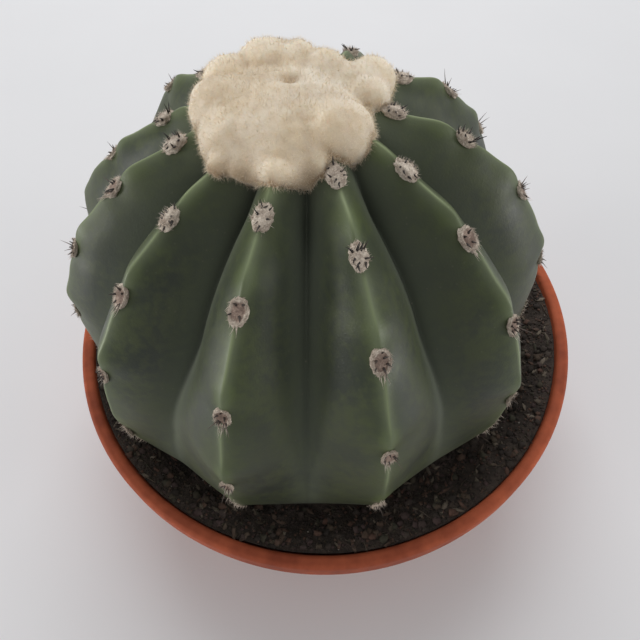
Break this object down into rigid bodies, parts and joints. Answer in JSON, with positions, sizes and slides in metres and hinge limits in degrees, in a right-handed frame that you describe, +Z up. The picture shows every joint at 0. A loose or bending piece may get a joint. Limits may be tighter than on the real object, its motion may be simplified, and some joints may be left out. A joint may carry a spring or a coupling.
{
  "type": "potted turks cap cactus",
  "caption": "Globe cactus with broad upright ribs, spined areoles and a cream wool cap on its crown, growing in soil in a shallow clay-coloured bowl.",
  "frame": {"origin": "centre of the bowl's flat underside, on the surface it stands on", "axes": "+Z up, -Y towards the side that faces the viewer, +X to the viewer's right"},
  "size_m": [0.18, 0.18, 0.1636],
  "materials": {
    "terracotta": "matt fired clay",
    "soil": "dark crumbly peat",
    "cactus_skin": "waxy green skin",
    "wool": "dense cream wool"
  },
  "bodies": {
    "root": {"pot": "terracotta", "soil": "soil", "cactus_body": "cactus_skin", "wool_cap": "wool"}
  },
  "joints": []
}
